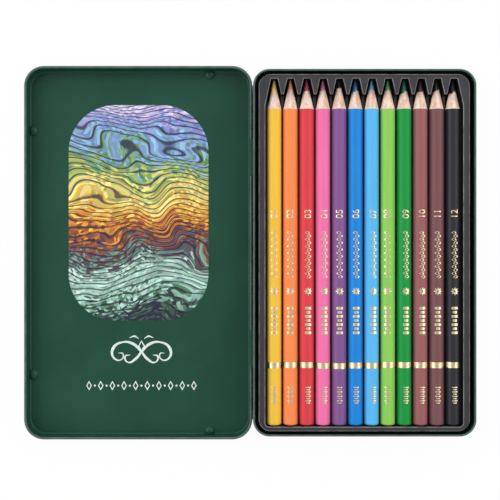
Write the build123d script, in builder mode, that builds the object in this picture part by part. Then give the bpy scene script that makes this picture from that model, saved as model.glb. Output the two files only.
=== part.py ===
"""Pencil tin: a hinged tinplate tin, open flat, with a formed tray and twelve round coloured pencils.

Frame: origin under the middle of the open tin, +X from the lid to the base, +Y towards the pencil tips,
+Z up. Lengths are in millimetres.
"""

import os
from math import hypot, sqrt

from build123d import *

# ---- pencils, from the hinge side outwards
colours = (
    "yellow",
    "orange",
    "red",
    "pink",
    "purple",
    "blue",
    "sky_blue",
    "light_green",
    "green",
    "brown",
    "dark_brown",
    "black",
)
pencil_length = 175.0
pencil_radius = 3.65
pencil_gap = 0.95  # between neighbours
lacquer_wall = 0.12
butt_round = 0.9  # radius of the dipped end's edge
cone_length = 14.9  # from the tip to the edge of the lacquer
tip_radius = 0.35
tip_round = 0.25
core_radius = 1.6
glue_gap = 0.02  # between core, casing and lacquer

# ---- tray
tray_wall = 0.5
tray_side_border = 3.3  # flat border beside the bay
tray_end_border = 2.35
tray_corner = 6.2
tray_edge = 0.7  # outer radius of the border's edge
bay_side_gap = 1.0  # between the end pencils and the bay's walls
bay_tip_gap = 0.3
bay_butt_gap = 0.5
bay_corner = 2.0
bay_edge = 0.4  # radius along the bay's upper edge
border_rise = 0.4  # of the border above the pencils' tops
cradle_gap = 0.1  # between a pencil and its cradle
cradle_clearance = 1.3  # between the cradles' undersides and the base's floor
ridge_drop = 1.5  # ridge tops below the pencils' axes
slot_width = 3.4  # of each tip slot at its end
slot_corner = 1.1
tooth_length = 7.9
tooth_tip = 1.3  # width of a tooth's end
tooth_hollow_tip = 0.15  # width of the end of the hollow under a tooth
shoulder_length = 13.4  # over which the bay's sides draw in to the end slots

# ---- tinplate shells
sheet = 0.3  # tinplate thickness
base_corner = 8.4  # outer radius in plan
base_foot = 1.5  # outer radius between floor and wall
base_roll = 0.5  # outer radius of the rim, rolled inwards
lid_gap = 0.35  # between the base's side walls and the shut lid's
lid_end_gap = 0.95  # between their end walls
tray_side_gap = 1.85  # between the tray's border and the base's rolled rim, in plan
tray_end_gap = 1.2
tray_foot_gap = 0.1  # between the skirt's foot and the base's foot radius
tray_below_rim = 1.9

# ---- hinge
wire_radius = 0.35
wire_gap = 0.04  # running clearance of the wire in its rolls
wire_grip = 8.0  # length of wire held in the lid's roll at each end
lug_length = 19.0
lug_inset = 44.1  # from the base's end to the middle of a lug
lug_end_gap = 0.3  # between a lug and the rolled edge beside it
notch_gap = 0.3  # between a lug and the cut-back lid wall
lug_window = 3.2  # height of the window that a lug leaves in the base's wall

# ---- stop bosses, pressed into the lid beside its walls, where they meet the base's rim
boss_radius = 3.0  # of the round nose that presses them
boss_height = 1.9
boss_inset = 1.6  # from a wall's inner face to the middle of a boss
boss_side_inset = 31.0  # from the lid's end to a boss on the free wall
boss_hinge_inset = 20.9  # from the lid's hinge side to a boss on an end wall
stop_gap = 0.15  # between the bosses of the shut lid and the base's rim

# ---- levels that follow
base_height = (
    sheet
    + cradle_clearance
    + tray_wall
    + cradle_gap
    + 2 * pencil_radius
    + border_rise
    + tray_below_rim
)
closed_height = base_height + stop_gap + boss_height + sheet
tray_top = base_height - tray_below_rim
pencil_z = tray_top - border_rise - pencil_radius
hinge_bore = wire_radius + wire_gap
hinge_roll = hinge_bore + sheet
hinge_z = closed_height / 2
lid_height = hinge_z + hinge_roll

# ---- plan sizes that follow: the pencils set the bay, the bay the tray, the tray the base, the base the lid
pencil_pitch = 2 * pencil_radius + pencil_gap
row_width = (len(colours) - 1) * pencil_pitch
bay_width = row_width + 2 * (pencil_radius + bay_side_gap)
bay_length = bay_tip_gap + pencil_length + bay_butt_gap
tray_width = bay_width + 2 * tray_side_border
tray_length = bay_length + 2 * tray_end_border
base_width = tray_width + 2 * (tray_side_gap + 2 * base_roll)
base_length = tray_length + 2 * (tray_end_gap + 2 * base_roll)
foot_inset = base_foot + tray_foot_gap  # of the skirt's foot from the base's outside
lid_width = base_width + 2 * (lid_gap + sheet)
lid_length = base_length + 2 * (lid_end_gap + sheet)
lid_corner = base_corner + lid_gap + sheet
lid_foot = sheet + lid_gap + base_roll

# ---- places that follow
lid_reach = hinge_roll + lid_width - 2 * sheet + 2 * hinge_roll  # from the hinge to the lid's free side
base_reach = hinge_roll + lid_gap + base_width
hinge_x = (lid_reach - base_reach) / 2
base_x = hinge_x + hinge_roll + lid_gap + base_width / 2
lid_x = hinge_x - hinge_roll + sheet - lid_width / 2
tip_y = bay_length / 2 - bay_tip_gap
pencil_xs = [base_x - row_width / 2 + i * pencil_pitch for i in range(len(colours))]
lug_ys = [-base_length / 2 + lug_inset, base_length / 2 - lug_inset]

os.makedirs("parts", exist_ok=True)


def save(part, name):
    """Label a finished piece and write it to its file."""
    part.label = name
    export_step(part, f"parts/{name}.step")


def rolled_pan(centre_x, width, length, corner, height, foot, roll, outward):
    """A tinplate pan standing on Z = 0, open at the top, its edge rolled outwards or inwards."""
    outer = centre_x + width / 2
    inner = outer - sheet
    side, tangent_x, meeting_x = (1, inner, outer) if outward else (-1, outer, inner)
    roll_x = tangent_x + side * roll
    roll_z = height - roll
    meeting_z = roll_z - sqrt(roll**2 - (roll - sheet) ** 2)
    outer_end, inner_end = (meeting_z, roll_z) if outward else (roll_z, meeting_z)

    with BuildLine() as path:
        for half_length in (length / 2, -length / 2):
            FilletPolyline(
                (outer, 0),
                (outer, half_length),
                (outer - width, half_length),
                (outer - width, 0),
                radius=corner,
            )

    with BuildPart() as pan:
        with BuildSketch(Plane.XZ) as section:
            with BuildLine():
                CenterArc((outer - foot, foot), foot, 270, 90)
                CenterArc((outer - foot, foot), foot - sheet, 270, 90)
                Line((outer - foot, 0), (outer - foot, sheet))
                Line((outer, foot), (outer, outer_end))
                Line((inner, foot), (inner, inner_end))
                ThreePointArc((meeting_x, meeting_z), (roll_x + side * roll, roll_z), (tangent_x, roll_z))
            make_face()
            with Locations((roll_x, roll_z)):
                Circle(roll - sheet, mode=Mode.SUBTRACT)
        sweep(sections=section.sketch, path=path.line)
        with BuildSketch(Plane.XY):
            with Locations((centre_x, 0)):
                RectangleRounded(width - 2 * foot, length - 2 * foot, corner - foot)
        extrude(amount=sheet)
    return pan.part


# ---- lid, open flat: its wall on the hinge side is rolled round the hinge's axis
lid_pan = rolled_pan(lid_x, lid_width, lid_length, lid_corner, lid_height, lid_foot, hinge_roll, outward=True)
half_sheet = sheet / 2
boss_x = lid_width / 2 - sheet - boss_inset
boss_y = lid_length / 2 - sheet - boss_inset
boss_z = sheet + boss_height - boss_radius
boss_side_y = lid_length / 2 - boss_side_inset
boss_end_x = lid_x + lid_width / 2 - boss_hinge_inset
boss_places = [
    (lid_x - boss_x, -boss_side_y, boss_z),
    (lid_x - boss_x, boss_side_y, boss_z),
    (boss_end_x, -boss_y, boss_z),
    (boss_end_x, boss_y, boss_z),
]

with BuildPart() as boss_noses:
    with Locations(*boss_places):
        Sphere(boss_radius)

with BuildPart() as lid_bosses:
    with BuildSketch(Plane.XY.offset(half_sheet)):
        with Locations((lid_x, 0)):
            RectangleRounded(lid_width - sheet, lid_length - sheet, lid_corner - half_sheet)
    extrude(amount=lid_height)
    fillet(lid_bosses.edges().group_by(Axis.Z)[0], lid_foot - half_sheet)
    add(boss_noses.part, mode=Mode.INTERSECT)

with BuildPart() as lid_shell:
    add(lid_pan)
    add(lid_bosses.part)
    with Locations(*boss_places):
        Sphere(boss_radius - sheet, mode=Mode.SUBTRACT)
    with Locations(*[(hinge_x, y, hinge_z) for y in lug_ys]):
        Box(
            2 * (hinge_roll + lug_end_gap),
            lug_length + 2 * lug_end_gap,
            2 * (hinge_roll + notch_gap),
            mode=Mode.SUBTRACT,
        )
save(lid_shell.part, "lid_shell")

# ---- base: two lugs are lanced from its rear wall and curled round the hinge wires
base_pan = rolled_pan(
    base_x, base_width, base_length, base_corner, base_height, base_foot, base_roll, outward=False
)
base_rear_x = base_x - base_width / 2
web_top = hinge_z + hinge_roll
web_bottom = web_top - sheet
meeting_reach = sqrt(hinge_roll**2 - hinge_bore**2)

with BuildPart() as base_shell:
    add(base_pan)
    with Locations(*[(base_rear_x, y, web_bottom - lug_window / 2) for y in lug_ys]):
        Box(4 * sheet, lug_length, lug_window, mode=Mode.SUBTRACT)
    for lug_y in lug_ys:
        with BuildSketch(Plane.XZ.offset(-lug_y - lug_length / 2)):
            with BuildLine():
                ThreePointArc(
                    (hinge_x, web_top),
                    (hinge_x - hinge_roll, hinge_z),
                    (hinge_x + meeting_reach, web_bottom),
                )
                Line((hinge_x, web_top), (base_rear_x + sheet, web_top))
                Line((base_rear_x + sheet, web_top), (base_rear_x + sheet, web_bottom))
                Line((base_rear_x + sheet, web_bottom), (hinge_x + meeting_reach, web_bottom))
            make_face()
            with Locations((hinge_x, hinge_z)):
                Circle(hinge_bore, mode=Mode.SUBTRACT)
        extrude(amount=lug_length)
save(base_shell.part, "base_shell")

# ---- hinge wires, held at both ends in the lid's roll
wire_length = lug_length + 2 * (lug_end_gap + wire_grip)
for wire_name, lug_y in zip(("hinge_wire_lower", "hinge_wire_upper"), lug_ys):
    with BuildPart() as hinge_wire:
        with BuildSketch(Plane.XZ.offset(-lug_y - wire_length / 2)):
            with Locations((hinge_x, hinge_z)):
                Circle(wire_radius)
        extrude(amount=wire_length)
    save(hinge_wire.part, wire_name)


def bay_outline(grow, tooth_end):
    """Corner points of the bay in plan, pushed outwards by grow, its teeth ending tooth_end wide."""
    half_width = bay_width / 2 + grow
    half_length = bay_length / 2 + grow
    half_row = row_width / 2
    half_root = (pencil_pitch - slot_width) / 2
    slope = (half_root - tooth_tip / 2) / tooth_length
    half_root += (slope - hypot(1, slope)) * grow
    tooth_y = half_length - (half_root - tooth_end / 2) / slope
    shoulder_slope = (bay_width / 2 - half_row - slot_width / 2) / shoulder_length
    half_slot = slot_width / 2 + (hypot(1, shoulder_slope) - shoulder_slope) * grow
    shoulder_y = half_length - (half_width - half_row - half_slot) / shoulder_slope

    points = [(base_x - half_width, shoulder_y), (base_x - half_row - half_slot, half_length)]
    for x in pencil_xs[:-1]:
        tooth_x = x + pencil_pitch / 2
        points += [
            (tooth_x - half_root, half_length),
            (tooth_x - tooth_end / 2, tooth_y),
            (tooth_x + tooth_end / 2, tooth_y),
            (tooth_x + half_root, half_length),
        ]
    points += [
        (base_x + half_row + half_slot, half_length),
        (base_x + half_width, shoulder_y),
        (base_x + half_width, -half_length),
        (base_x - half_width, -half_length),
    ]
    return points


def bay_hollow(grow, tooth_end):
    """The space over the cradles within the bay's walls, pushed outwards by grow."""
    ridge_z = pencil_z - ridge_drop - grow
    cradle_radius = pencil_radius + cradle_gap + grow
    over = 2 * tray_top  # higher than the tray
    with BuildPart() as hollow:
        with BuildSketch(Plane.XY):
            with BuildLine():
                Polyline(*bay_outline(grow, tooth_end), close=True)
            make_face()
            corners = vertices().group_by(Axis.Y)
            fillet(corners[0], bay_corner + grow)
            fillet(corners[-1], slot_corner)
        extrude(amount=over)
        with BuildSketch(Plane.XZ.offset(-tray_length)):
            with Locations((base_x, ridge_z)):
                Rectangle(tray_width, over, align=(Align.CENTER, Align.MIN))
            with Locations(*[(x, pencil_z) for x in pencil_xs]):
                Circle(cradle_radius)
        extrude(amount=2 * tray_length, mode=Mode.INTERSECT)
    return hollow.part


def tray_block(inset, edge):
    """The tray's outer form from the base's floor to its border, drawn in all round by inset."""
    foot_in = foot_inset + inset
    with BuildPart() as block:
        with BuildSketch(Plane.XY.offset(sheet)):
            with Locations((base_x, 0)):
                RectangleRounded(base_width - 2 * foot_in, base_length - 2 * foot_in, base_corner - foot_in)
        with BuildSketch(Plane.XY.offset(tray_top - inset)):
            with Locations((base_x, 0)):
                RectangleRounded(tray_width - 2 * inset, tray_length - 2 * inset, tray_corner - inset)
        loft()
        fillet(block.faces().sort_by(Axis.Z)[-1].edges(), edge)
    return block.part


# ---- tray: one sheet of even thickness, bay and skirt, open underneath
tray_outside = tray_block(0, tray_edge)
tray_inside = tray_block(tray_wall, tray_edge - tray_wall)
bay_top_side = bay_hollow(0, tooth_tip)
bay_underside = bay_hollow(tray_wall, tooth_hollow_tip)

with BuildPart() as tray_core:
    add(tray_inside)
    add(bay_underside, mode=Mode.SUBTRACT)

with BuildPart() as pencil_tray:
    add(tray_outside)
    add(bay_top_side, mode=Mode.SUBTRACT)
    border = pencil_tray.faces().filter_by(Axis.Z).sort_by(Axis.Z)[-1]
    fillet(border.inner_wires()[0].edges(), bay_edge)
    add(tray_core.part, mode=Mode.SUBTRACT)
save(pencil_tray.part, "pencil_tray")


def cone_y(radius):
    """Where along Y the sharpened cone has this radius."""
    return tip_y - cone_length * (radius - tip_radius) / (pencil_radius - tip_radius)


# ---- pencils, lying in the cradles with their tips towards +Y
butt_y = tip_y - pencil_length
lacquer_bore = pencil_radius - lacquer_wall
casing_radius = lacquer_bore - glue_gap
casing_bore = core_radius + glue_gap
casing_end_y = butt_y + lacquer_wall + glue_gap

for colour, pencil_x in zip(colours, pencil_xs):
    pencil_plane = Plane((pencil_x, 0, pencil_z))
    pencil_axis = Axis((pencil_x, 0, pencil_z), (0, 1, 0))

    with BuildPart() as core:
        with BuildSketch(pencil_plane):
            with BuildLine():
                Polyline(
                    (0, casing_end_y),
                    (core_radius, casing_end_y),
                    (core_radius, cone_y(core_radius)),
                    (tip_radius, tip_y),
                    (0, tip_y),
                    close=True,
                )
            make_face()
            fillet(vertices().group_by(Axis.Y)[-1].sort_by(Axis.X)[-1], tip_round)
        revolve(axis=pencil_axis)
    save(core.part, f"{colour}_core")

    with BuildPart() as casing:
        with BuildSketch(pencil_plane):
            with BuildLine():
                Polyline(
                    (casing_bore, casing_end_y),
                    (casing_radius, casing_end_y),
                    (casing_radius, cone_y(casing_radius)),
                    (casing_bore, cone_y(casing_bore)),
                    close=True,
                )
            make_face()
            fillet(
                vertices().group_by(Axis.Y)[0].sort_by(Axis.X)[-1],
                butt_round - lacquer_wall - glue_gap,
            )
        revolve(axis=pencil_axis)
    save(casing.part, f"{colour}_casing")

    with BuildPart() as lacquer:
        with BuildSketch(pencil_plane):
            with BuildLine():
                Polyline(
                    (0, butt_y),
                    (pencil_radius, butt_y),
                    (pencil_radius, cone_y(pencil_radius)),
                    (lacquer_bore, cone_y(lacquer_bore)),
                    (lacquer_bore, butt_y + lacquer_wall),
                    (0, butt_y + lacquer_wall),
                    close=True,
                )
            make_face()
            fillet(vertices().group_by(Axis.Y)[0].sort_by(Axis.X)[-1], butt_round)
            fillet(
                vertices().group_by(Axis.Y)[1].sort_by(Axis.X)[-1],
                butt_round - lacquer_wall,
            )
        revolve(axis=pencil_axis)
    save(lacquer.part, f"{colour}_lacquer")
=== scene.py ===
"""A coloured pencil tin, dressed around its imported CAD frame.

The tin lies open: the lid with its print on the left, the base with a tray of twelve pencils on the right.
CAD nodes keep their shape and get a finish; foil, print and ornament are new pieces that lie on them.
Lengths are in millimetres, in the frame's own axes, and are multiplied by MM where Blender takes them.
"""
import logging
import math
import random
from collections.abc import Iterator
from contextlib import contextmanager
from dataclasses import dataclass, field
from enum import Enum
from typing import Any

import bpy
from mathutils import Matrix, Vector


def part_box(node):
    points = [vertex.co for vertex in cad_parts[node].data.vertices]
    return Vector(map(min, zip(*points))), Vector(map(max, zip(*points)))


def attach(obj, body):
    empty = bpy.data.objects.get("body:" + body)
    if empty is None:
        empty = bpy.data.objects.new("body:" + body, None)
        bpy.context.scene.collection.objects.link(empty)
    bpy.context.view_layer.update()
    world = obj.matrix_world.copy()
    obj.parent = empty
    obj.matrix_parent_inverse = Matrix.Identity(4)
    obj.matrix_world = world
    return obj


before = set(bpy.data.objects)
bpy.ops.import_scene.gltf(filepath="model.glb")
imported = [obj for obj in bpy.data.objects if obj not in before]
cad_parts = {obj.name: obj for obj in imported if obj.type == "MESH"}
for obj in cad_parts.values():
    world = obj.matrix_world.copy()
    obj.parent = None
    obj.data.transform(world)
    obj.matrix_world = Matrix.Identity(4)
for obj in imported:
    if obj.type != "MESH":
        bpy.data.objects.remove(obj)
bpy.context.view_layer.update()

MM = 0.001
log = logging.getLogger("pencil_tin")


# Colours and shader nodes

def linear(hex_colour: str) -> tuple[float, float, float, float]:
    """Turn an sRGB hex colour into the linear colour that a shader takes.

    Args:
        hex_colour: Six hex digits after a hash sign.

    Returns:
        Linear red, green, blue and an alpha of one.
    """
    channels = [int(hex_colour[start:start + 2], 16) / 255 for start in (1, 3, 5)]
    red, green, blue = (
        channel / 12.92 if channel <= 0.04045 else ((channel + 0.055) / 1.055) ** 2.4
        for channel in channels)
    return red, green, blue, 1.0


def add_node(
    tree: bpy.types.NodeTree,
    kind: str,
    settings: dict[str, Any] | None = None,
    inputs: dict[str | int, Any] | tuple[Any, ...] = (),
) -> bpy.types.Node:
    """Add a shader node with its settings, values and links.

    Args:
        tree: The node tree that takes it.
        kind: The node's type, without the leading ShaderNode.
        settings: Properties of the node itself.
        inputs: Values or output sockets, in the order of the node's inputs or by their name or number.

    Returns:
        The new node.
    """
    made = tree.nodes.new(f"ShaderNode{kind}")
    for name, value in (settings or {}).items():
        setattr(made, name, value)
    for name, value in inputs.items() if isinstance(inputs, dict) else enumerate(inputs):
        if isinstance(value, bpy.types.NodeSocket):
            tree.links.new(value, made.inputs[name])
        else:
            made.inputs[name].default_value = value
    return made


# Modelling helpers

def deselect_all() -> None:
    """Leave nothing selected, because the loaded CAD nodes are."""
    bpy.ops.object.select_all(action="DESELECT")


def take(piece: bpy.types.Object) -> None:
    """Make one object the only one selected, and the active one."""
    deselect_all()
    piece.select_set(True)
    bpy.context.view_layer.objects.active = piece


def name_new(name: str) -> bpy.types.Object:
    """Name the object that an operator has just added, and return it."""
    piece = bpy.context.active_object
    piece.name = name
    piece.data.name = name
    return piece


@contextmanager
def editing(piece: bpy.types.Object) -> Iterator[None]:
    """Hold an object in edit mode, with all of it selected at the start.

    Args:
        piece: The mesh object to edit.
    """
    take(piece)
    bpy.ops.object.mode_set(mode="EDIT")
    bpy.ops.mesh.select_all(action="SELECT")
    yield
    bpy.ops.object.mode_set(mode="OBJECT")


def settle(piece: bpy.types.Object) -> None:
    """Put an object's place, turn and scale into its mesh, so that it stands at the origin."""
    take(piece)
    bpy.ops.object.transform_apply(location=True, rotation=True, scale=True)


def modify(piece: bpy.types.Object, kind: str, **settings: Any) -> None:
    """Add a modifier and apply it at once.

    Args:
        piece: The mesh object that it changes.
        kind: Blender's name for the kind of modifier.
        settings: The modifier's properties.
    """
    take(piece)
    modifier = piece.modifiers.new(kind, kind)
    for name, value in settings.items():
        setattr(modifier, name, value)
    bpy.ops.object.modifier_apply(modifier=modifier.name)


def copy_of(piece: bpy.types.Object, name: str, offset: Vector) -> bpy.types.Object:
    """Copy a piece with its own mesh, moved in the mesh.

    Args:
        piece: The piece to copy.
        name: The copy's name.
        offset: How far the copy lies from the first, in metres.

    Returns:
        The copy, at the origin.
    """
    twin = piece.copy()
    twin.data = piece.data.copy()
    twin.name = twin.data.name = name
    bpy.context.collection.objects.link(twin)
    twin.data.transform(Matrix.Translation(offset))
    return twin


def join(pieces: list[bpy.types.Object], name: str) -> bpy.types.Object:
    """Join pieces into the first of them and name it.

    Args:
        pieces: Mesh objects at the origin.
        name: The joined piece's name.

    Returns:
        The joined piece.
    """
    take(pieces[0])
    for piece in pieces[1:]:
        piece.select_set(True)
    bpy.ops.object.join()
    return name_new(name)


def thicken(piece: bpy.types.Object, thickness: float) -> None:
    """Give a flat sheet a thickness, upwards, with closed edges and outward faces.

    Args:
        piece: The sheet, whose faces look up.
        thickness: In millimetres.
    """
    modify(piece, "SOLIDIFY", thickness=thickness * MM, offset=1.0)


def dress(piece: bpy.types.Object, material: bpy.types.Material, body: str) -> None:
    """Give a finished new piece its material, body and slot, and report it.

    Args:
        piece: The finished piece.
        material: Its material.
        body: The CAD body that it moves with.
    """
    piece.data.materials.clear()
    piece.data.materials.append(material)
    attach(piece, body)
    log.info("%s: %d faces, on %s", piece.name, len(piece.data.polygons), body)


def dress_node(name: str, material: bpy.types.Material) -> None:
    """Give a CAD node that keeps its shape a better material, and report it.

    Args:
        name: The node's name.
        material: Its material.
    """
    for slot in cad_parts[name].material_slots:
        slot.material = material
    log.info("%s: %s", name, material.name)


# Finishes

# Most of a noise pattern's values lie in this range.
USUAL = (0.35, 0.65)
COLOUR_MIX = {"data_type": "RGBA", "blend_type": "MIX"}


@dataclass(frozen=True)
class Finish:
    """A surface: its name in plain words, its colour and its gloss."""

    name: str
    colour: str
    roughness: float = 0.5
    ior: float = 1.5

    def material(self) -> bpy.types.Material:
        """Make the material: a shader with the finish's values, and the finish's own pattern.

        Returns:
            The material.
        """
        made = bpy.data.materials.new(self.name)
        made.use_nodes = True
        tree = made.node_tree
        tree.nodes.clear()
        values = {"Base Color": linear(self.colour), "Roughness": self.roughness}
        shader = add_node(tree, "BsdfPrincipled", inputs=values | self.gloss())
        for name, socket in self.pattern(tree).items():
            tree.links.new(socket, shader.inputs[name])
        add_node(tree, "OutputMaterial", inputs={"Surface": shader.outputs["BSDF"]})
        return made

    def gloss(self) -> dict[str, float]:
        """Return the shader's values that are the same all over."""
        return {"IOR": self.ior}

    def pattern(self, tree: bpy.types.NodeTree) -> dict[str, bpy.types.NodeSocket]:
        """Add what varies over the surface, which each finish says for itself.

        Args:
            tree: The node tree that takes it.

        Returns:
            What varies, by the shader's input that takes it.
        """
        return {}

    @staticmethod
    def grain(
        tree: bpy.types.NodeTree,
        size: float,
        stretch: Vector = Vector((1, 1, 1)),
        detail: float = 3.0,
    ) -> bpy.types.NodeSocket:
        """Add an irregular pattern of a real size, fixed to the piece.

        Args:
            tree: The node tree that takes it.
            size: The width of one feature, in millimetres.
            stretch: How many times longer a feature is along each axis.
            detail: Octaves of finer detail.

        Returns:
            The pattern's value, around one half.
        """
        place = add_node(tree, "TexCoord").outputs["Object"]
        scaled = add_node(tree, "VectorMath", {"operation": "DIVIDE"}, (place, stretch)).outputs[0]
        made = add_node(tree, "TexNoise", inputs={
            "Vector": scaled, "Scale": 1 / (size * MM), "Detail": detail})
        return made.outputs["Fac"]


@dataclass(frozen=True)
class Enamel(Finish):
    """Roller-coated enamel, stoved on tinplate and varnished.

    It gives a deep colour under a clear gloss, a faint orange peel, and a paler line along the top of the
    rolled edge, partly worn thin and partly a painted highlight for the lamps' reflection on the roll.
    """

    rim_level: float = 10.0
    specular: float = 0.22
    coat: float = 0.05
    coat_roughness: float = 0.12
    mottle: float = 30.0
    rubbed_and_highlight: str = "#5f6d69"
    rub_and_highlight_depth: float = 0.5
    rub_and_highlight_patch: float = 6.0
    peel: float = 1.6
    peel_depth: float = 0.004

    def gloss(self) -> dict[str, float]:
        """Return the gloss of a hard varnish over the enamel."""
        return {"IOR": self.ior, "Specular IOR Level": self.specular,
                "Coat Weight": self.coat, "Coat Roughness": self.coat_roughness}

    def pattern(self, tree: bpy.types.NodeTree) -> dict[str, bpy.types.NodeSocket]:
        """Add the mottling, the worn edge with its painted highlight and the orange peel, and return them
        by input.
        """
        cloud = self.grain(tree, self.mottle)
        mottle = add_node(tree, "MapRange", inputs=(cloud, *USUAL, 0.9, 1.1)).outputs[0]
        body = add_node(tree, "HueSaturation", inputs={
            "Value": mottle, "Color": linear(self.colour)}).outputs[0]
        place = add_node(tree, "TexCoord").outputs["Object"]
        height = add_node(tree, "SeparateXYZ", inputs=(place,)).outputs["Z"]
        # Painted highlight: the top of the rolled rim is paler, partly worn enamel and partly standing in
        # for the lamps' reflection.
        edge = ((self.rim_level - self.rub_and_highlight_depth) * MM, self.rim_level * MM)
        near = add_node(tree, "MapRange", inputs=(height, *edge, 0.0, 1.0)).outputs[0]
        patch = self.grain(tree, self.rub_and_highlight_patch)
        patchy = add_node(tree, "MapRange", inputs=(patch, *USUAL, 0.55, 1.0)).outputs[0]
        rub_and_highlight = add_node(tree, "Math", {"operation": "MULTIPLY"}, (near, patchy)).outputs[0]
        colour = add_node(tree, "Mix", COLOUR_MIX, {0: rub_and_highlight, 6: body, 7: linear(self.rubbed_and_highlight)})
        peel = self.grain(tree, self.peel, detail=1.0)
        relief = add_node(tree, "Bump", inputs={"Height": peel, "Distance": self.peel_depth * MM})
        return {"Base Color": colour.outputs[2], "Normal": relief.outputs["Normal"]}


@dataclass(frozen=True)
class Lacquer(Finish):
    """Nitrocellulose lacquer, drawn on along the pencil in many coats.

    It gives an even colour with a soft gloss, and streaks so faint that only a highlight shows them.
    """

    roughness: float = 0.4
    specular: float = 0.28
    streak: float = 0.7
    streak_length: float = 40.0
    streak_depth: float = 0.006
    cut_level: float = 72.75
    cut_width: float = 0.1
    undercoat: str = "#e6d6cb"

    def gloss(self) -> dict[str, float]:
        """Return the gloss of the last clear coat."""
        return {"IOR": self.ior, "Specular IOR Level": self.specular}

    def pattern(self, tree: bpy.types.NodeTree) -> dict[str, bpy.types.NodeSocket]:
        """Add the streaks, and the pale undercoat where the knife has cut through."""
        streak = self.grain(tree, self.streak, Vector((1, self.streak_length, 1)))
        shade = add_node(tree, "MapRange", inputs=(streak, *USUAL, 0.95, 1.05)).outputs[0]
        tint = add_node(tree, "HueSaturation", inputs={
            "Value": shade, "Color": linear(self.colour)}).outputs[0]
        place = add_node(tree, "TexCoord").outputs["Object"]
        along = add_node(tree, "SeparateXYZ", inputs=(place,)).outputs["Y"]
        edge = (self.cut_level * MM, (self.cut_level + self.cut_width) * MM)
        bare = add_node(tree, "MapRange", inputs=(along, *edge, 0.0, 1.0)).outputs[0]
        colour = add_node(tree, "Mix", COLOUR_MIX, {0: bare, 6: tint, 7: linear(self.undercoat)})
        relief = add_node(tree, "Bump", inputs={
            "Height": streak, "Distance": self.streak_depth * MM})
        return {"Base Color": colour.outputs[2], "Normal": relief.outputs["Normal"]}


@dataclass(frozen=True)
class SharpenedPoint(Finish):
    """Basswood cut to a cone by the maker's knife, down to a wax-bound pigment core.

    The wood has fine pores along the grain; the core is waxy. The line between them wavers and leans,
    because a core is never quite in the middle of its wood, so it is drawn by where the cut leaves it.
    """

    roughness: float = 0.62
    pigment: str = "#808080"
    wax_roughness: float = 0.42
    speckle: float = 0.25
    boundary: float = 81.0
    boundary_blur: float = 0.12
    slant: float = 0.0
    waver: float = 0.9
    waver_size: float = 0.9
    axis_x: float = 0.0
    is_core: bool = False
    pore_wood: str = "#d9a98b"
    pore: float = 0.3
    pore_length: float = 22.0
    pore_depth: float = 0.03
    ring: float = 1.6
    ring_length: float = 9.0
    pore_range: tuple[float, float] = (0.8, 1.25)

    def pattern(self, tree: bpy.types.NodeTree) -> dict[str, bpy.types.NodeSocket]:
        """Add the grain, the core's colour and the line between them, and return them by input."""
        pores = self.grain(tree, self.pore, Vector((1, self.pore_length, 1)), detail=4.0)
        rings = self.grain(tree, self.ring, Vector((1, self.ring_length, 1)), detail=1.0)
        both = add_node(tree, "Math", {"operation": "ADD"}, (pores, rings)).outputs[0]
        figure = add_node(tree, "MapRange", inputs=(both, *self.pore_range, 0.0, 1.0)).outputs[0]
        wood = add_node(tree, "Mix", COLOUR_MIX, {
            0: figure, 6: linear(self.colour), 7: linear(self.pore_wood)}).outputs[2]
        is_pigment = self.core_share(tree)
        speck = self.grain(tree, self.speckle)
        speckle = add_node(tree, "MapRange", inputs=(speck, *USUAL, 0.8, 1.2)).outputs[0]
        wax = add_node(tree, "HueSaturation", inputs={
            "Value": speckle, "Color": linear(self.pigment)}).outputs[0]
        colour = add_node(tree, "Mix", COLOUR_MIX, {0: is_pigment, 6: wood, 7: wax})
        gloss = add_node(tree, "MapRange", inputs=(
            is_pigment, 0.0, 1.0, self.roughness, self.wax_roughness))
        relief = add_node(tree, "Bump", inputs={"Height": pores, "Distance": self.pore_depth * MM})
        return {"Base Color": colour.outputs[2], "Roughness": gloss.outputs[0],
                "Normal": relief.outputs["Normal"]}

    def core_share(self, tree: bpy.types.NodeTree) -> bpy.types.NodeSocket:
        """Add the wavering line past which the point shows its core.

        Args:
            tree: The node tree that takes it.

        Returns:
            One on the core and zero on the wood.
        """
        place = add_node(tree, "TexCoord").outputs["Object"]
        axes = add_node(tree, "SeparateXYZ", inputs=(place,)).outputs
        aside = add_node(tree, "Math", {"operation": "SUBTRACT"}, (axes["X"], self.axis_x * MM))
        leaning = add_node(tree, "Math", {"operation": "MULTIPLY_ADD"}, (
            aside.outputs[0], -self.slant, axes["Y"])).outputs[0]
        reach = self.waver * MM / 2
        wander = self.grain(tree, self.waver_size, detail=2.0)
        waver = add_node(tree, "MapRange", inputs=(wander, *USUAL, -reach, reach)).outputs[0]
        along = add_node(tree, "Math", {"operation": "ADD"}, (leaning, waver)).outputs[0]
        edge = ((self.boundary - self.boundary_blur) * MM, (self.boundary + self.boundary_blur) * MM)
        share = add_node(tree, "MapRange", inputs=(along, *edge, 0.0, 1.0)).outputs[0]
        if self.is_core:
            # The lacquer hides the butt end, and the core is pigment there as well.
            behind = add_node(tree, "Math", {"operation": "LESS_THAN"}, (axes["Y"], 0.0)).outputs[0]
            share = add_node(tree, "Math", {"operation": "MAXIMUM"}, (share, behind)).outputs[0]
        return share


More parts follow.
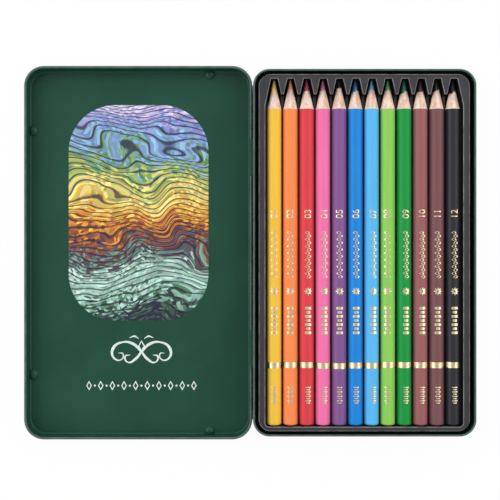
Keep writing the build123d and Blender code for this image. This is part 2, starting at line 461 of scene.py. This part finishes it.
@dataclass(frozen=True)
class MouldedPolystyrene(Finish):
    """High-impact polystyrene sheet, formed over a mould.

    It gives a satin black with a fine grain, darkened deeper down in the cradles by painted shade,
    and paler along the top edges, partly worn and partly a painted highlight for the lamps' reflection on
    the fillets.
    """

    roughness: float = 0.4
    ior: float = 1.59
    border_level: float = 9.9
    painted_shade_level: float = 5.3
    painted_shade: float = 0.4
    cloud: float = 12.0
    rubbed_and_highlight: str = "#b9aca0"
    rub_and_highlight_patch: float = 5.0
    rub_and_highlight_starts: tuple[float, float] = (0.6, 0.2)
    rub_and_highlight_ends: tuple[float, float] = (0.05, 0.015)
    tooth: float = 0.6
    tooth_depth: float = 0.006

    def pattern(self, tree: bpy.types.NodeTree) -> dict[str, bpy.types.NodeSocket]:
        """Add the grain, the cloud, the painted shade, and the worn edges with painted highlight; return
        them by input.
        """
        place = add_node(tree, "TexCoord").outputs["Object"]
        height = add_node(tree, "SeparateXYZ", inputs=(place,)).outputs["Z"]
        haze = self.grain(tree, self.cloud)
        cloud = add_node(tree, "MapRange", inputs=(haze, *USUAL, 0.85, 1.2)).outputs[0]
        # Painted shade: the black is darkened deeper down in the cradles.
        deep = add_node(tree, "MapRange", inputs=(
            height, self.painted_shade_level * MM, self.border_level * MM, self.painted_shade, 1.0)).outputs[0]
        value = add_node(tree, "Math", {"operation": "MULTIPLY"}, (cloud, deep)).outputs[0]
        tint = add_node(tree, "HueSaturation", inputs={
            "Value": value, "Color": linear(self.colour)}).outputs[0]
        # Painted highlight: the top edges are paler, partly worn and partly standing in for the lamps'
        # reflection on the fillets.
        starts = ((self.border_level - depth) * MM for depth in self.rub_and_highlight_starts)
        ends = ((self.border_level - depth) * MM for depth in self.rub_and_highlight_ends)
        under = add_node(tree, "MapRange", inputs=(height, *starts, 0.0, 1.0)).outputs[0]
        over = add_node(tree, "MapRange", inputs=(height, *ends, 1.0, 0.0)).outputs[0]
        edge = add_node(tree, "Math", {"operation": "MULTIPLY"}, (under, over)).outputs[0]
        patch = self.grain(tree, self.rub_and_highlight_patch)
        patchy = add_node(tree, "MapRange", inputs=(patch, *USUAL, 0.25, 0.8)).outputs[0]
        rub_and_highlight = add_node(tree, "Math", {"operation": "MULTIPLY"}, (edge, patchy)).outputs[0]
        colour = add_node(tree, "Mix", COLOUR_MIX, {0: rub_and_highlight, 6: tint, 7: linear(self.rubbed_and_highlight)})
        tooth = self.grain(tree, self.tooth, detail=2.0)
        relief = add_node(tree, "Bump", inputs={"Height": tooth, "Distance": self.tooth_depth * MM})
        return {"Base Color": colour.outputs[2], "Normal": relief.outputs["Normal"]}


@dataclass(frozen=True)
class DrawnWire(Finish):
    """Spring steel wire, drawn through a die.

    It gives a grey metal with fine scores along its length.
    """

    roughness: float = 0.32
    score: float = 0.12
    score_length: float = 60.0

    def gloss(self) -> dict[str, float]:
        """Return a bare metal."""
        return {"Metallic": 1.0}

    def pattern(self, tree: bpy.types.NodeTree) -> dict[str, bpy.types.NodeSocket]:
        """Add the scores, and return them by input."""
        score = self.grain(tree, self.score, Vector((1, self.score_length, 1)))
        scored = add_node(tree, "MapRange", inputs=(
            score, *USUAL, self.roughness - 0.08, self.roughness + 0.1))
        return {"Roughness": scored.outputs[0]}


@dataclass(frozen=True)
class StampedFoil(Finish):
    """Pale gold foil, pressed on with a hot die.

    It gives a mirror with a soft bloom, and a little grain from the lacquer under it.
    """

    roughness: float = 0.34
    bloom: float = 0.8
    bloom_depth: float = 0.01

    def gloss(self) -> dict[str, float]:
        """Return a bare metal."""
        return {"Metallic": 1.0}

    def pattern(self, tree: bpy.types.NodeTree) -> dict[str, bpy.types.NodeSocket]:
        """Add the bloom and the grain, and return them by input."""
        bloom = self.grain(tree, self.bloom, detail=4.0)
        soft = add_node(tree, "MapRange", inputs=(
            bloom, *USUAL, self.roughness - 0.08, self.roughness + 0.14))
        relief = add_node(tree, "Bump", inputs={"Height": bloom, "Distance": self.bloom_depth * MM})
        return {"Roughness": soft.outputs[0], "Normal": relief.outputs["Normal"]}


@dataclass(frozen=True)
class ScreenInk(Finish):
    """Opaque white screen ink on the enamel.

    It gives a flat, slightly chalky white with thin places.
    """

    roughness: float = 0.5
    thin_place: float = 0.7

    def pattern(self, tree: bpy.types.NodeTree) -> dict[str, bpy.types.NodeSocket]:
        """Add the thin places, and return them by input."""
        patch = self.grain(tree, self.thin_place)
        thin = add_node(tree, "MapRange", inputs=(patch, *USUAL, 0.88, 1.04)).outputs[0]
        tint = add_node(tree, "HueSaturation", inputs={"Value": thin, "Color": linear(self.colour)})
        return {"Base Color": tint.outputs[0]}


@dataclass(frozen=True)
class BandedPrint(Finish):
    """A four-colour offset print under varnish: drifting bands with fine dark lines.

    The bands run across the panel and are bent by slow noise, then broken into short dabs of ink.
    """

    roughness: float = 0.35
    centre: Vector = Vector((0, 0, 0))
    height: float = 100.0
    bands: tuple[str, ...] = ()
    line: str = "#1c1a2a"
    line_pitch: float = 3.0
    line_strength: float = 0.85
    line_edge: tuple[float, float] = (0.04, 0.22)
    drift: float = 26.0
    drift_size: float = 46.0
    dab: float = 1.0
    dab_squash: float = 0.45
    dab_shake: float = 0.075
    dab_shades: tuple[float, float] = (0.6, 1.45)
    dab_depth: float = 0.004

    def pattern(self, tree: bpy.types.NodeTree) -> dict[str, bpy.types.NodeSocket]:
        """Add the bands, the dabs and the lines, and return them by input."""
        bent = self.bent_place(tree)
        cells = add_node(tree, "Mapping", {"vector_type": "POINT"}, {
            "Vector": bent, "Scale": Vector((self.dab_squash, 1.0, 1.0))}).outputs[0]
        dabs = add_node(tree, "TexVoronoi", {"feature": "F1"}, {
            "Vector": cells, "Scale": 1 / (self.dab * MM)})
        lift = add_node(tree, "SeparateColor", inputs=(dabs.outputs["Color"],)).outputs
        shift = add_node(tree, "MapRange", inputs=(lift[0], 0.0, 1.0, -1.0, 1.0)).outputs[0]
        along = add_node(tree, "SeparateXYZ", inputs=(bent,)).outputs["Y"]
        end = self.height / 2 * MM
        level = add_node(tree, "MapRange", inputs=(along, -end, end, 0.0, 1.0)).outputs[0]
        shaken = add_node(tree, "Math", {"operation": "MULTIPLY_ADD"}, (shift, self.dab_shake, level))
        ramp = add_node(tree, "ValToRGB", inputs={"Fac": shaken.outputs[0]})
        stops = ramp.color_ramp.elements
        for index, hex_colour in enumerate(self.bands):
            position = index / (len(self.bands) - 1)
            stop = stops[index] if index < min(len(stops), 2) else stops.new(position)
            stop.position = position
            stop.color = linear(hex_colour)
        shade = add_node(tree, "MapRange", inputs=(lift[1], 0.0, 1.0, *self.dab_shades)).outputs[0]
        painted = add_node(tree, "HueSaturation", inputs={
            "Value": shade, "Color": ramp.outputs["Color"]}).outputs[0]
        # Blender's wave repeats 20 times over a scaled length of two pi, hence the factors.
        wave = add_node(tree, "TexWave", {"bands_direction": "Y"}, {
            "Vector": bent, "Scale": 1 / (self.line_pitch * MM) / 20 * math.pi * 2, "Distortion": 0.0})
        drawn = add_node(tree, "MapRange", inputs=(
            wave.outputs["Fac"], *self.line_edge, self.line_strength, 0.0)).outputs[0]
        colour = add_node(tree, "Mix", COLOUR_MIX, {0: drawn, 6: painted, 7: linear(self.line)})
        relief = add_node(tree, "Bump", inputs={"Height": lift[1], "Distance": self.dab_depth * MM})
        return {"Base Color": colour.outputs[2], "Normal": relief.outputs["Normal"]}

    def bent_place(self, tree: bpy.types.NodeTree) -> bpy.types.NodeSocket:
        """Add the place on the panel, from its middle and bent by slow noise.

        Args:
            tree: The node tree that takes it.

        Returns:
            The bent place, in metres.
        """
        place = add_node(tree, "TexCoord").outputs["Object"]
        local = add_node(tree, "Mapping", {"vector_type": "TEXTURE"}, {
            "Vector": place, "Location": self.centre * MM}).outputs[0]
        slow = add_node(tree, "TexNoise", inputs={
            "Vector": local, "Scale": 1 / (self.drift_size * MM), "Detail": 1.5, "Distortion": 0.6})
        centred = add_node(tree, "VectorMath", {"operation": "SUBTRACT"}, (
            slow.outputs["Color"], Vector((0.5, 0.5, 0.5)))).outputs[0]
        reach = Vector((1, 1, 0)) * 2 * self.drift * MM
        bent = add_node(tree, "VectorMath", {"operation": "MULTIPLY_ADD"}, (centred, reach, local))
        return bent.outputs[0]


# The pencils' own differences

@dataclass(frozen=True)
class PencilTint:
    """What sets one pencil apart: its lacquer, its pigment, and how it was sharpened and stamped."""

    lacquer: str
    pigment: str
    bare_core: float
    slant: float
    stamp_turn: float


class Shade(Enum):
    """The twelve pencils, in the order that they lie from the hinge outwards."""

    YELLOW = PencilTint("#f5c33e", "#fbd776", 6.3, 0.10, -1.0)
    ORANGE = PencilTint("#fb8b4c", "#f7a06c", 4.8, -0.05, -4.0)
    RED = PencilTint("#dc3e46", "#bd4a5b", 5.7, 0.05, 9.0)
    PINK = PencilTint("#f272a6", "#dc6e9a", 5.5, 0.00, 9.0)
    PURPLE = PencilTint("#82548f", "#2d1a35", 4.1, 0.08, 0.0)
    BLUE = PencilTint("#0f84d6", "#2a75ad", 5.8, 0.45, 2.0)
    SKY_BLUE = PencilTint("#56b8ec", "#5cb4e0", 5.3, -0.10, 10.0)
    LIGHT_GREEN = PencilTint("#8dcb55", "#56a85c", 5.2, 0.06, -10.0)
    GREEN = PencilTint("#0a943c", "#1f7a52", 6.3, 0.50, 9.0)
    BROWN = PencilTint("#9a5c5c", "#4a2c35", 6.0, 0.10, 9.0)
    DARK_BROWN = PencilTint("#784d50", "#2c2226", 5.2, 0.50, 2.0)
    BLACK = PencilTint("#2a282d", "#1c1a1c", 6.4, 0.45, 6.0)

    @property
    def label(self) -> str:
        """The name that this pencil's nodes start with."""
        return self.name.lower()

    @property
    def body(self) -> str:
        """The name of this pencil's body."""
        return f"pencil_{self.label}"


# Sub-assemblies

@dataclass
class Tin:
    """The two pressed shells, their hinge wires and the tray between them and the pencils."""

    lid_rim: float = 7.765
    base_rim: float = 11.8
    enamel: str = "#1d4a39"
    enamel_roughness: float = 0.36

    def build(self) -> None:
        """Dress the shells, the wires and the tray."""
        for part, rim in (("lid", self.lid_rim), ("base", self.base_rim)):
            enamel = Enamel(f"{part}_stoved_enamel", self.enamel, self.enamel_roughness, rim_level=rim)
            dress_node(f"{part}_shell", enamel.material())
        wire = DrawnWire("drawn_spring_steel", "#8d9092").material()
        for end in ("lower", "upper"):
            dress_node(f"hinge_wire_{end}", wire)
        dress_node("pencil_tray", MouldedPolystyrene("black_polystyrene", "#2b2a2f").material())


@dataclass
class LidPrint:
    """What is printed on the inside of the lid: a banded panel, a flourish and a row of lozenges."""

    floor: float = 0.3
    ink: float = 0.03
    panel_centre: Vector = field(default_factory=lambda: Vector((-57.0, 20.5, 0)))
    panel_width: float = 72.0
    panel_height: float = 111.0
    panel_corner: float = 24.0
    panel_margin: float = 0.25
    flourish_centre: Vector = field(default_factory=lambda: Vector((-55.5, -50.5, 0)))
    row_centre: Vector = field(default_factory=lambda: Vector((-55.5, -68.5, 0)))
    row_length: float = 54.0
    row_count: int = 19
    lozenge_width: float = 2.9
    lozenge_height: float = 5.0
    lozenge_line: float = 0.5
    dot_radius: float = 0.55

    def build(self) -> None:
        """Model and dress the panel, the flourish and the row."""
        print_finish = BandedPrint(
            "varnished_offset_print", "#8fa6d8", centre=self.panel_centre, height=self.panel_height,
            bands=("#2a2440", "#3f6a48", "#9cc7b8", "#c3dccf", "#6f9a86", "#4c3a52", "#8a4a2c", "#d8842f",
                   "#f0c04a", "#f6df8c", "#b9c46a", "#5f8f4a", "#8fb7d8", "#6f86c8", "#a99ad0", "#d9d3ea"))
        dress(self.panel(), print_finish.material(), "lid")
        white = ScreenInk("white_screen_ink", "#e6eeea").material()
        dress(self.flourish(), white, "lid")
        dress(self.lozenge_row(), white, "lid")

    def panel(self) -> bpy.types.Object:
        """Model the printed panel: a plate with round corners, as thick as its ink and varnish.

        Returns:
            The panel.
        """
        deselect_all()
        bpy.ops.mesh.primitive_plane_add(
            size=1, location=(self.panel_centre + Vector((0, 0, self.floor))) * MM)
        plate = name_new("lid_printed_panel")
        plate.scale = Vector((self.panel_width, self.panel_height, 1)) * MM
        settle(plate)
        with editing(plate):
            bpy.ops.mesh.bevel(affect="VERTICES", offset=self.panel_corner * MM, segments=16)
            bpy.ops.mesh.inset(thickness=self.panel_margin * MM)
        thicken(plate, self.ink)
        return plate

    def flourish(self) -> bpy.types.Object:
        """Model a pen flourish: two scrolls that mirror each other about a lozenge.

        Returns:
            The flourish.
        """
        strokes = (
            ((0, -0.6, 0.55), (4.2, 3.4, 0.75), (9.4, 4.4, 0.45), (14.6, 1.2, 0.8), (14.2, -3.8, 0.5),
             (10.4, -4.6, 0.3), (9.6, -1.6, 0.35), (11.9, -1.2, 0.12)),
            ((0, -0.6, 0.55), (3.2, -4.4, 0.7), (7.0, -6.0, 0.35), (8.4, -3.0, 0.5), (5.8, -2.2, 0.12)),
            ((1.4, 6.2, 0.12), (3.6, 7.4, 0.5), (6.2, 6.6, 0.12)),
        )
        parts = [self.stroke(points, side) for points in strokes for side in (-1, 1)]
        parts.append(self.lozenge(self.flourish_centre + Vector((0, 2.4, 0)), 1.2))
        return join(parts, "lid_flourish")

    def stroke(self, points: tuple[tuple[float, float, float], ...], side: int) -> bpy.types.Object:
        """Model one pen stroke as a flattened tube, thick and thin as the pen was pressed.

        Args:
            points: Across, along and half the stroke's width at each point.
            side: 1 for the right stroke, -1 for its mirror image.

        Returns:
            The stroke.
        """
        deselect_all()
        bpy.ops.curve.primitive_bezier_curve_add()
        pen = name_new("stroke")
        spline = pen.data.splines[0]
        spline.bezier_points.add(len(points) - len(spline.bezier_points))
        for knot, (across, along, half_width) in zip(spline.bezier_points, points):
            knot.co = Vector((side * across, along, 0)) * MM
            knot.handle_left_type = knot.handle_right_type = "AUTO"
            knot.radius = half_width
        pen.data.bevel_depth = MM
        pen.data.bevel_resolution = 2
        pen.data.resolution_u = 10
        pen.data.use_fill_caps = True
        take(pen)
        bpy.ops.object.convert(target="MESH")
        pen = name_new("stroke")
        flat = self.ink / 1.6
        pen.scale = (1, 1, flat)
        pen.location = (self.flourish_centre + Vector((0, 0, self.floor + 0.8 * flat))) * MM
        settle(pen)
        return pen

    def lozenge(self, centre: Vector, scale: float = 1.0) -> bpy.types.Object:
        """Model an open lozenge: a square on its corner, hollowed by an inset.

        Args:
            centre: Where it lies on the lid.
            scale: How much larger than the row's own it is.

        Returns:
            The lozenge.
        """
        deselect_all()
        bpy.ops.mesh.primitive_circle_add(
            vertices=4, radius=1, fill_type="NGON", location=(centre + Vector((0, 0, self.floor))) * MM)
        shape = name_new("lozenge")
        shape.scale = Vector((self.lozenge_width / 2 * scale, self.lozenge_height / 2 * scale, 1)) * MM
        settle(shape)
        with editing(shape):
            bpy.ops.mesh.inset(thickness=self.lozenge_line * MM)
            bpy.ops.mesh.delete(type="FACE")
        thicken(shape, self.ink)
        return shape

    def dot(self, centre: Vector) -> bpy.types.Object:
        """Model a round dot of ink.

        Args:
            centre: Where it lies on the lid.

        Returns:
            The dot.
        """
        deselect_all()
        bpy.ops.mesh.primitive_circle_add(
            vertices=12, radius=self.dot_radius * MM, fill_type="NGON",
            location=(centre + Vector((0, 0, self.floor))) * MM)
        shape = name_new("dot")
        settle(shape)
        with editing(shape):
            bpy.ops.mesh.inset(thickness=self.dot_radius * 0.3 * MM)
        thicken(shape, self.ink)
        return shape

    def lozenge_row(self) -> bpy.types.Object:
        """Model the row: lozenges and dots by turns, at an even pitch.

        Returns:
            The row.
        """
        pitch = self.row_length / (self.row_count - 1)
        parts = []
        for index in range(self.row_count):
            place = self.row_centre + Vector(((index - (self.row_count - 1) / 2) * pitch, 0, 0))
            parts.append(self.dot(place) if index % 2 else self.lozenge(place))
        return join(parts, "lid_lozenge_row")


@dataclass
class PencilRow:
    """The twelve pencils with their foil: a band, a number and a stamped ornament each."""

    tip: float = 87.6
    radius: float = 3.65
    foil: float = 0.015
    band_place: float = -56.95
    band_width: float = 2.9
    band_wander: float = 0.4
    number_place: float = 19.6
    number_height: float = 3.4
    scroll_places: tuple[float, float] = (11.0, -13.0)
    scroll_waves: int = 7
    scroll_line: float = 0.5
    scroll_swing: float = 1.35
    star_place: float = -19.5
    star_radius: float = 2.1
    star_waist: float = 0.6
    star_line: float = 0.7
    bar_places: tuple[float, float] = (-27.0, -41.5)
    bar_count: int = 7
    bar_size: tuple[float, float] = (1.35, 3.2)
    tick_places: tuple[float, float] = (-67.5, -76.5)
    tick_count: int = 8
    tick_size: tuple[float, float] = (0.6, 2.7)
    short_bar: float = 0.7
    leaf_radius: float = 0.5
    leaf_stretch: tuple[float, float, float] = (0.6, 1.3, 1.0)
    leaf_lean: float = 25.0
    leaf_aside: float = 0.35
    strip_step: float = 0.3

    def build(self) -> None:
        """Dress every pencil, and model and dress its foil."""
        foil = StampedFoil("hot_stamped_foil", "#ead9b0").material()
        strip = self.ornament()
        wander = random.Random(12)
        for number, shade in enumerate(Shade, start=1):
            low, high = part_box(f"{shade.label}_lacquer")
            axis = (low + high) / 2 / MM
            self.dress_pencil(shade, axis.x)
            aside = wander.uniform(-self.band_wander, self.band_wander)
            band = self.band(shade, axis, self.band_place + aside)
            dress(band, foil, shade.body)
            turn = math.radians(shade.value.stamp_turn)
            over = Vector((axis.x + self.radius * math.sin(turn), 0, 0)) * MM
            stamp = copy_of(strip, f"{shade.label}_foil_ornament", over)
            numeral = self.numeral(shade, number, over)
            for piece in (stamp, numeral):
                self.press(piece, shade)
                dress(piece, foil, shade.body)
        bpy.data.objects.remove(strip)

    def dress_pencil(self, shade: Shade, axis_x: float) -> None:
        """Give one pencil's lacquer, wood and core their finishes.

        Args:
            shade: Which pencil.
            axis_x: Where its axis lies, in millimetres.
        """
        tint = shade.value
        lacquer = Lacquer(f"{shade.label}_pencil_lacquer", tint.lacquer)
        dress_node(f"{shade.label}_lacquer", lacquer.material())
        for part, is_core in (("casing", False), ("core", True)):
            point = SharpenedPoint(
                f"{shade.label}_sharpened_{part}", "#fbe3d3", pigment=tint.pigment,
                boundary=self.tip - tint.bare_core, slant=tint.slant, axis_x=axis_x, is_core=is_core)
            dress_node(f"{shade.label}_{part}", point.material())

    def band(self, shade: Shade, axis: Vector, place: float) -> bpy.types.Object:
        """Model the foil band round one pencil.

        Args:
            shade: Which pencil.
            axis: A point on its axis.
            place: Where the middle of the band lies along the pencil.

        Returns:
            The band.
        """
        deselect_all()
        bpy.ops.mesh.primitive_cylinder_add(
            vertices=64, radius=(self.radius + self.foil) * MM, depth=self.band_width * MM,
            end_fill_type="NOTHING", rotation=(math.pi / 2, 0, 0),
            location=Vector((axis.x, place, axis.z)) * MM)
        ring = name_new(f"{shade.label}_foil_band")
        settle(ring)
        with editing(ring):
            bpy.ops.mesh.normals_make_consistent(inside=False)
        modify(ring, "SOLIDIFY", thickness=self.foil * 0.8 * MM, offset=-1.0)
        bpy.ops.object.shade_smooth_by_angle(angle=math.radians(40))
        return ring

    def ornament(self) -> bpy.types.Object:
        """Model the stamped ornament flat, along a pencil whose axis is at the origin.

        Returns:
            The flat ornament: a vine, a star, a row of bars and a row of ticks.
        """
        parts = [self.vine(), self.star()]
        parts += self.row_of(self.bar_places, self.bar_count, self.bar_size)
        parts += self.row_of(self.tick_places, self.tick_count, self.tick_size)
        return join(parts, "flat_ornament")

    def vine(self) -> bpy.types.Object:
        """Model a wavy line of even width with a leaf in each bend.

        Returns:
            The vine.
        """
        deselect_all()
        start, end = self.scroll_places
        bpy.ops.mesh.primitive_grid_add(
            x_subdivisions=1, y_subdivisions=16 * self.scroll_waves, size=1,
            location=Vector((0, (start + end) / 2, 0)) * MM)
        line = name_new("vine")
        line.scale = Vector((self.scroll_line, abs(end - start), 1)) * MM
        settle(line)
        pitch = abs(end - start) / self.scroll_waves * MM
        for vertex in line.data.vertices:
            turn = 2 * math.pi * (vertex.co.y - start * MM) / pitch
            vertex.co.x += self.scroll_swing * MM * math.sin(turn)
        leaves = []
        for index in range(2 * self.scroll_waves):
            side = -1 if index % 2 else 1
            place = Vector((side * self.leaf_aside, start - (index + 0.5) * pitch / MM / 2, 0))
            leaves.append(self.leaf(place, side))
        return join([line, *leaves], "vine")

    def leaf(self, place: Vector, side: int) -> bpy.types.Object:
        """Model a leaf: a disc drawn out to a point at both ends.

        Args:
            place: The middle of the leaf.
            side: Which way it leans.

        Returns:
            The leaf.
        """
        deselect_all()
        bpy.ops.mesh.primitive_circle_add(
            vertices=8, radius=self.leaf_radius * MM, fill_type="NGON", location=place * MM,
            rotation=(0, 0, math.radians(self.leaf_lean * side)))
        shape = name_new("leaf")
        shape.scale = self.leaf_stretch
        settle(shape)
        return shape

    def star(self) -> bpy.types.Object:
        """Model an eight-pointed star with an open middle.

        Returns:
            The star.
        """
        deselect_all()
        bpy.ops.mesh.primitive_circle_add(
            vertices=16, radius=self.star_radius * MM, fill_type="NGON",
            location=Vector((0, self.star_place, 0)) * MM)
        shape = name_new("star")
        settle(shape)
        centre = Vector((0, self.star_place, 0)) * MM
        for index, vertex in enumerate(shape.data.vertices):
            if index % 2:
                vertex.co = centre + (vertex.co - centre) * self.star_waist
        with editing(shape):
            bpy.ops.mesh.inset(thickness=self.star_line * MM)
            bpy.ops.mesh.delete(type="FACE")
        return shape

    def row_of(
        self,
        places: tuple[float, float],
        count: int,
        size: tuple[float, float],
    ) -> list[bpy.types.Object]:
        """Model a row of bars along the pencil, a long one and a short one by turns.

        Args:
            places: Where the row starts and ends.
            count: How many bars it has.
            size: A long bar's length along the pencil, and its width across it.

        Returns:
            The bars.
        """
        length, width = size
        bars = []
        for index in range(count):
            place = places[0] + (places[1] - places[0]) * (index + 0.5) / count
            reach = width * self.short_bar if index % 2 else width
            deselect_all()
            bpy.ops.mesh.primitive_plane_add(size=1, location=Vector((0, place, 0)) * MM)
            bar = name_new("bar")
            bar.scale = Vector((reach, length, 1)) * MM
            settle(bar)
            with editing(bar):
                bpy.ops.mesh.bevel(affect="VERTICES", offset=length * 0.3 * MM, segments=2)
            bars.append(bar)
        return bars

    def numeral(self, shade: Shade, number: int, over: Vector) -> bpy.types.Object:
        """Model a pencil's plain number, flat, along the pencil.

        Args:
            shade: Which pencil.
            number: Its number.
            over: The place over the pencil, in metres.

        Returns:
            The number.
        """
        deselect_all()
        bpy.ops.object.text_add(rotation=(0, 0, math.pi / 2))
        text = name_new("numeral")
        text.data.body = f"{number:02d}"
        text.data.size = self.number_height * 1.4 * MM
        text.data.align_x = "CENTER"
        text.data.align_y = "CENTER"
        text.location = over + Vector((0, self.number_place * MM, 0))
        take(text)
        bpy.ops.object.convert(target="MESH")
        made = name_new(f"{shade.label}_foil_number")
        settle(made)
        return made

    def press(self, piece: bpy.types.Object, shade: Shade) -> None:
        """Press flat foil on to the round of its pencil and give it its thickness.

        Args:
            piece: The flat foil.
            shade: Which pencil.
        """
        low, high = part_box(f"{shade.label}_lacquer")
        middle = (low.x + high.x) / 2
        steps = int(2 * self.radius / self.strip_step)
        with editing(piece):
            for index in range(steps):
                cut = middle + (index - (steps - 1) / 2) * self.strip_step * MM
                bpy.ops.mesh.select_all(action="SELECT")
                bpy.ops.mesh.bisect(plane_co=(cut, 0, 0), plane_no=(1, 0, 0))
            bpy.ops.mesh.select_all(action="SELECT")
            bpy.ops.mesh.normals_make_consistent(inside=False)
        piece.data.transform(Matrix.Translation(Vector((0, 0, high.z + MM))))
        modify(piece, "SHRINKWRAP", target=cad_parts[f"{shade.label}_lacquer"],
               wrap_method="PROJECT", use_project_z=True, use_negative_direction=True,
               use_positive_direction=False, offset=self.foil / 2 * MM)
        modify(piece, "SOLIDIFY", thickness=self.foil * MM, offset=1.0)


@dataclass(frozen=True)
class Studio:
    """The floor, the lamps, the room's light and the camera that looks straight down."""

    floor_size: float = 6000.0
    camera_height: float = 459.0
    camera_place: Vector = Vector((0.4, 1.35, 0))
    focus_height: float = 9.0
    picture_width: float = 252.7
    sensor: float = 36.0
    glow: float = 0.95
    gap_place: float = 1.7
    gap_reach: tuple[float, float] = (3.0, 86.0)
    lamp_angle: float = 54.0
    lamp_distance: float = 900.0
    lamp_size: tuple[float, float] = (620.0, 1100.0)
    lamp_power: float = 3.1
    lamp_shift: float = 250.0
    sky_low: str = "#e9ebee"
    sky_high: str = "#b4b8bc"
    sky_strength: float = 1.1
    sky_levels: tuple[float, float] = (0.45, 0.95)
    sky_lean: tuple[float, float, float] = (-0.5, 1.0, 0.0)
    lean_reach: float = 0.3
    lean_swing: float = 0.28

    def build(self) -> None:
        """Make the floor, the lamps, the room's light and the camera."""
        bpy.context.scene.view_settings.view_transform = "Standard"
        self.floor()
        self.lamps()
        self.room()
        self.camera()

    def floor(self) -> None:
        """Make a plain white floor that keeps a faint shadow of the tin.

        To the camera it glows, so that it shows white, but not in the gap at the hinge, which is dark.
        """
        deselect_all()
        bpy.ops.mesh.primitive_plane_add(size=self.floor_size * MM)
        floor = name_new("floor")
        material = bpy.data.materials.new("white_paper_sweep")
        material.use_nodes = True
        tree = material.node_tree
        tree.nodes.clear()
        paper = add_node(tree, "BsdfDiffuse", inputs={"Color": linear("#f6f6f5")})
        glow = add_node(tree, "Emission", inputs={"Color": linear("#ffffff"), "Strength": 1.0})
        ray = add_node(tree, "LightPath")
        seen = add_node(tree, "Math", {"operation": "MAXIMUM"}, (
            ray.outputs["Is Camera Ray"], ray.outputs["Is Glossy Ray"])).outputs[0]
        through = add_node(tree, "Math", {"operation": "MAXIMUM"}, (
            seen, ray.outputs["Is Transmission Ray"])).outputs[0]
        place = add_node(tree, "TexCoord").outputs["Object"]
        middle = Vector((self.gap_place, 0, 0)) * MM
        aside = add_node(tree, "VectorMath", {"operation": "SUBTRACT"}, (place, middle)).outputs[0]
        away = add_node(tree, "VectorMath", {"operation": "ABSOLUTE"}, (aside,)).outputs[0]
        axes = add_node(tree, "SeparateXYZ", inputs=(away,)).outputs
        beyond = [
            add_node(tree, "Math", {"operation": "GREATER_THAN"}, (axes[index], reach * MM)).outputs[0]
            for index, reach in enumerate(self.gap_reach)]
        open_floor = add_node(tree, "Math", {"operation": "MAXIMUM"}, tuple(beyond)).outputs[0]
        bright = add_node(tree, "Math", {"operation": "MULTIPLY"}, (open_floor, self.glow)).outputs[0]
        share = add_node(tree, "Math", {"operation": "MULTIPLY"}, (through, bright)).outputs[0]
        mix = add_node(tree, "MixShader", inputs=(share, paper.outputs[0], glow.outputs[0]))
        add_node(tree, "OutputMaterial", inputs={"Surface": mix.outputs[0]})
        floor.data.materials.append(material)

    def lamps(self) -> None:
        """Hang a long soft lamp on the left and one on the right, turned to the tin."""
        angle = math.radians(self.lamp_angle)
        for side, name in ((-1, "left_softbox"), (1, "right_softbox")):
            place = Vector((side * math.sin(angle), 0, math.cos(angle))) * self.lamp_distance * MM
            place.y = self.lamp_shift * MM
            bpy.ops.object.light_add(type="AREA", location=place, rotation=(0, side * angle, 0))
            lamp = name_new(name)
            lamp.data.shape = "RECTANGLE"
            lamp.data.size, lamp.data.size_y = (length * MM for length in self.lamp_size)
            lamp.data.energy = self.lamp_power

    def room(self) -> None:
        """Light the tin from pale walls, with a dimmer ceiling, and a little more from behind the tips."""
        world = bpy.data.worlds.new("room")
        bpy.context.scene.world = world
        world.use_nodes = True
        tree = world.node_tree
        tree.nodes.clear()
        direction = add_node(tree, "TexCoord").outputs["Generated"]
        up = add_node(tree, "SeparateXYZ", inputs={0: direction}).outputs["Z"]
        ramp = add_node(tree, "ValToRGB", inputs={"Fac": up})
        skies = zip(ramp.color_ramp.elements, (self.sky_low, self.sky_high), self.sky_levels)
        for stop, sky, level in skies:
            stop.color = linear(sky)
            stop.position = level
        lean = add_node(tree, "VectorMath", {"operation": "DOT_PRODUCT"}, (
            direction, Vector(self.sky_lean))).outputs["Value"]
        strength = add_node(tree, "MapRange", inputs=(
            lean, -self.lean_reach, self.lean_reach,
            (1 - self.lean_swing) * self.sky_strength, (1 + self.lean_swing) * self.sky_strength))
        light = add_node(tree, "Background", inputs={
            "Color": ramp.outputs[0], "Strength": strength.outputs[0]})
        add_node(tree, "OutputWorld", inputs={"Surface": light.outputs[0]})

    def camera(self) -> None:
        """Hang the camera over the tin and look straight down."""
        place = self.camera_place + Vector((0, 0, self.camera_height))
        bpy.ops.object.camera_add(location=place * MM, rotation=(0, 0, 0))
        camera = name_new("camera")
        camera.data.sensor_width = self.sensor
        camera.data.lens = self.sensor * (self.camera_height - self.focus_height) / self.picture_width
        camera.data.clip_start = 0.01
        camera.data.clip_end = self.floor_size * MM
        bpy.context.scene.camera = camera


def main() -> None:
    """Build the tin, its print, its pencils and the studio."""
    logging.basicConfig(level=logging.INFO, format="%(name)s: %(message)s")
    Tin().build()
    LidPrint().build()
    PencilRow().build()
    Studio().build()


if __name__ == "__main__":
    main()
